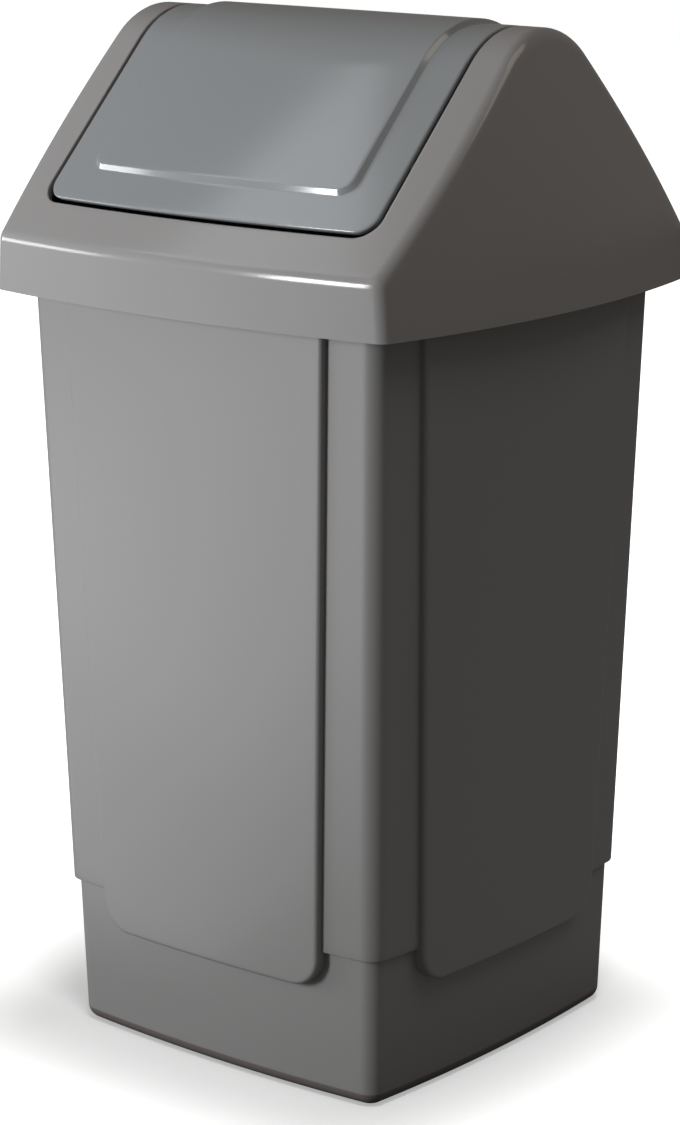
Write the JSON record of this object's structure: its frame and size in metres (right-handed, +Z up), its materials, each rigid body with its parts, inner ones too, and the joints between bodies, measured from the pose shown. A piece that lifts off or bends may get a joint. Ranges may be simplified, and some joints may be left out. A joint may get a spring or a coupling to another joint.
{
  "type": "swing-lid trash can",
  "caption": "Tall square tapered bin with raised side panels and a roof-shaped hood that lifts off; a saddle-shaped flap swings both ways in the hood's mouth.",
  "frame": {"origin": "middle of the tub's underside, on the floor", "axes": "+Z up; -Y out of the front face; X along the ridge of the hood, from gable to gable"},
  "size_m": [0.3556, 0.3418, 0.6753],
  "materials": {
    "tub_plastic": "warm grey moulded polypropylene, fine satin grain",
    "hood_plastic": "warm grey moulded polypropylene, satin",
    "flap_plastic": "cool grey moulded polypropylene, glossy",
    "pin_plastic": "dark acetal, smooth"
  },
  "bodies": {
    "tub": {"tub": "tub_plastic"},
    "hood": {"hood": "hood_plastic"},
    "flap": {"swing_flap": "flap_plastic", "pivot_pin_left": "pin_plastic", "pivot_pin_right": "pin_plastic"}
  },
  "joints": [
    {"name": "hood_lift", "type": "slide", "parent": "tub", "child": "hood", "axis": [0, 0, 1], "range_m": [0, 0.15]},
    {"name": "flap_swing", "type": "hinge", "parent": "hood", "child": "flap", "pos_m": [0, 0, 0.64549], "axis": [1, 0, 0], "range_deg": [-80, 80]}
  ]
}
